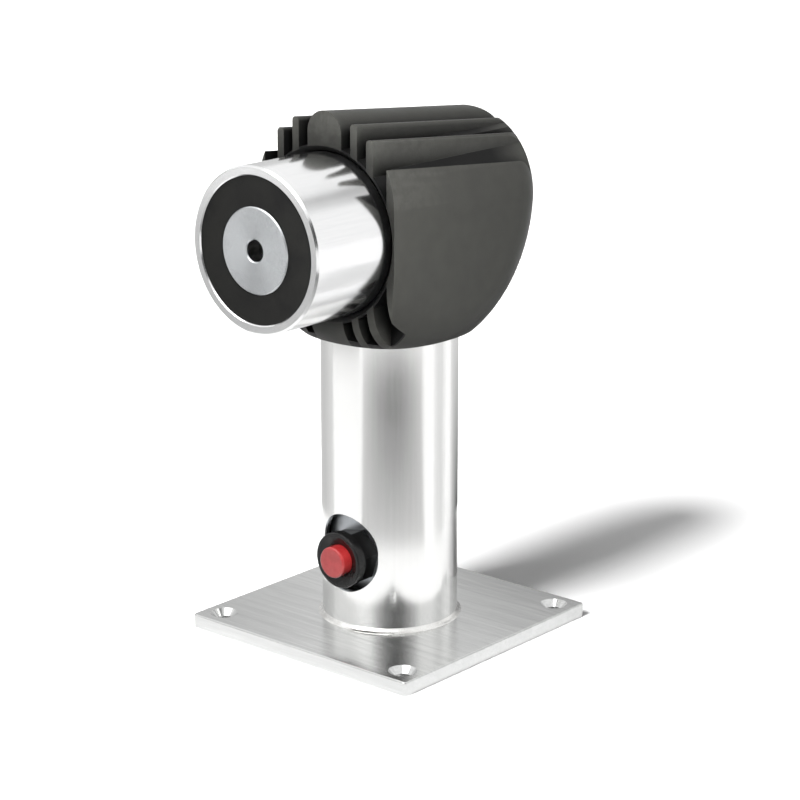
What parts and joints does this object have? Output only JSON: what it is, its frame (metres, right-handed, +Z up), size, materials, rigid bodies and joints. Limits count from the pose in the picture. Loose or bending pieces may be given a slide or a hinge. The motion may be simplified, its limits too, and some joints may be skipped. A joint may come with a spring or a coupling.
{
  "type": "electromagnetic door holder",
  "caption": "Electromagnetic door holder: steel pot magnet in a ribbed black head on a tubular steel post, with a red release button and a square foot bolted to the floor.",
  "frame": {"origin": "on the post's axis, at the underside of the foot", "axes": "+Z up along the post, the magnet faces -Y, X across the magnet"},
  "size_m": [0.1, 0.1218, 0.1893],
  "materials": {
    "brushed_foot": "satin",
    "polished_tube": "polished",
    "weld": "polished",
    "turned_steel": "turned",
    "zinc_steel": "plated",
    "black_head": "satin",
    "potting": "matte",
    "black_plastic": "gloss",
    "red_cap": "gloss",
    "black_oxide": "satin",
    "natural_plastic": "satin",
    "rubber": "matte",
    "copper_coil": "enamelled",
    "brass": "turned",
    "aluminium": "turned",
    "spring_steel": "drawn",
    "red_insulation": "satin",
    "black_insulation": "satin"
  },
  "bodies": {
    "post": {"base_plate": "brushed_foot", "post_tube": "polished_tube", "weld_bead": "weld", "tube_plug": "aluminium", "head_housing": "black_head", "magnet_pot": "turned_steel", "magnet_core": "turned_steel", "potting_ring": "potting", "coil_bobbin": "natural_plastic", "coil_winding": "copper_coil", "lead_grommet": "rubber", "magnet_screw": "black_oxide", "plug_screws": "black_oxide", "thread_inserts": "brass", "button_bracket": "zinc_steel", "bracket_screws": "zinc_steel", "bracket_nuts": "zinc_steel", "button_body": "black_plastic", "button_spring": "spring_steel", "button_contacts": "brass", "contact_base": "black_plastic", "button_washer": "zinc_steel", "button_nut": "black_plastic", "terminal_block": "natural_plastic", "terminal_clamps": "brass", "terminal_screws": "zinc_steel", "block_screws": "zinc_steel", "magnet_leads": "red_insulation", "button_leads": "black_insulation"},
    "push_cap": {"button_cap": "red_cap", "contact_bridge": "brass"}
  },
  "joints": [
    {"name": "cap_travel", "type": "slide", "parent": "post", "child": "push_cap", "axis": [0, 1, 0], "range_m": [0, 0.0025], "stiffness_N_per_m": 500, "deforming": ["button_spring"]}
  ]
}
